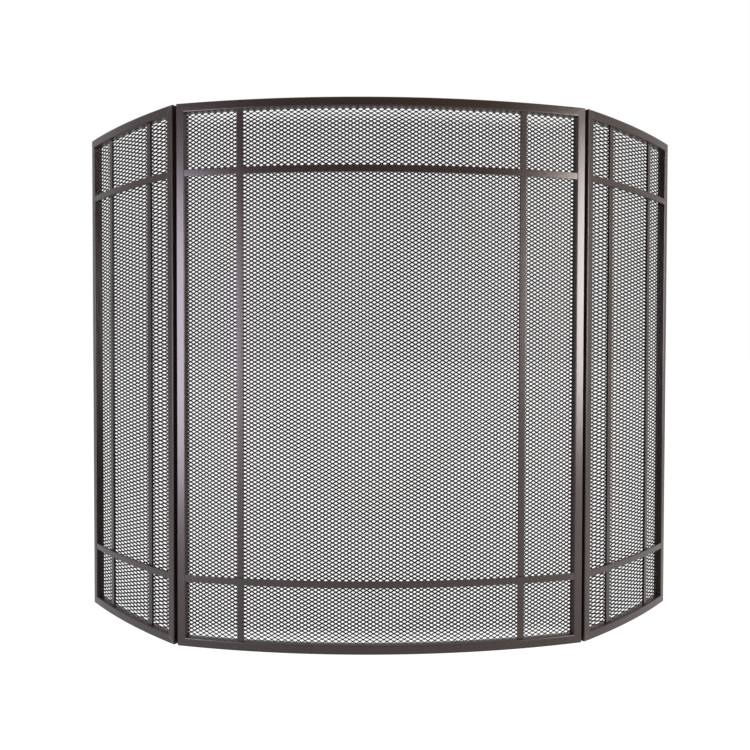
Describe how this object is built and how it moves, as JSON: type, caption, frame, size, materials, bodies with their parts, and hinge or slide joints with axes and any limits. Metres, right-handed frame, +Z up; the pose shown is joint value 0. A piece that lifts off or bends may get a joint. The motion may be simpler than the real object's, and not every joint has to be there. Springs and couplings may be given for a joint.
{
  "type": "fireplace screen",
  "caption": "Free-standing folding fireplace screen: bowed square-tube frames with flat bars and diamond mesh, side panels hinged to fold back behind the centre.",
  "frame": {"origin": "bottom centre of the box around the screen as it stands with both side panels folded back", "axes": "+X across the screen to the viewer's right, +Y to the back towards the hearth, +Z up; the bowed front faces -Y"},
  "size_m": [0.9824, 0.229, 0.787],
  "materials": {
    "frame": "satin dark bronze powder coat with a fine grain",
    "mesh": "semi-matt black paint on expanded steel mesh",
    "hinge": "satin dark bronze paint, slightly darker than the frame",
    "pin": "plain steel wire"
  },
  "bodies": {
    "center_panel": {"center_top_rail": "frame", "center_bottom_rail": "frame", "center_left_stile": "frame", "center_right_stile": "frame", "center_upper_bar": "frame", "center_lower_bar": "frame", "center_left_upright": "frame", "center_right_upright": "frame", "center_mesh": "mesh", "left_lower_hinge_center_leaf": "hinge", "left_lower_hinge_pin": "pin", "left_lower_hinge_center_rivet_lower": "hinge", "left_lower_hinge_center_rivet_upper": "hinge", "left_upper_hinge_center_leaf": "hinge", "left_upper_hinge_pin": "pin", "left_upper_hinge_center_rivet_lower": "hinge", "left_upper_hinge_center_rivet_upper": "hinge", "right_lower_hinge_center_leaf": "hinge", "right_lower_hinge_pin": "pin", "right_lower_hinge_center_rivet_lower": "hinge", "right_lower_hinge_center_rivet_upper": "hinge", "right_upper_hinge_center_leaf": "hinge", "right_upper_hinge_pin": "pin", "right_upper_hinge_center_rivet_lower": "hinge", "right_upper_hinge_center_rivet_upper": "hinge"},
    "left_wing": {"left_wing_top_rail": "frame", "left_wing_bottom_rail": "frame", "left_wing_hinge_stile": "frame", "left_wing_outer_stile": "frame", "left_wing_upper_bar": "frame", "left_wing_lower_bar": "frame", "left_wing_inner_upright": "frame", "left_wing_outer_upright": "frame", "left_wing_mesh": "mesh", "left_lower_hinge_wing_leaf": "hinge", "left_lower_hinge_wing_rivet_lower": "hinge", "left_lower_hinge_wing_rivet_upper": "hinge", "left_upper_hinge_wing_leaf": "hinge", "left_upper_hinge_wing_rivet_lower": "hinge", "left_upper_hinge_wing_rivet_upper": "hinge"},
    "right_wing": {"right_wing_top_rail": "frame", "right_wing_bottom_rail": "frame", "right_wing_hinge_stile": "frame", "right_wing_outer_stile": "frame", "right_wing_upper_bar": "frame", "right_wing_lower_bar": "frame", "right_wing_inner_upright": "frame", "right_wing_outer_upright": "frame", "right_wing_mesh": "mesh", "right_lower_hinge_wing_leaf": "hinge", "right_lower_hinge_wing_rivet_lower": "hinge", "right_lower_hinge_wing_rivet_upper": "hinge", "right_upper_hinge_wing_leaf": "hinge", "right_upper_hinge_wing_rivet_lower": "hinge", "right_upper_hinge_wing_rivet_upper": "hinge"}
  },
  "joints": [
    {"name": "left_wing_fold", "type": "hinge", "parent": "center_panel", "child": "left_wing", "pos_m": [-0.29888, -0.06237, 0], "axis": [0, 0, -1], "range_deg": [-24, 141]},
    {"name": "right_wing_fold", "type": "hinge", "parent": "center_panel", "child": "right_wing", "pos_m": [0.28948, -0.06237, 0], "axis": [0, 0, 1], "range_deg": [-20.7, 144.3]}
  ]
}
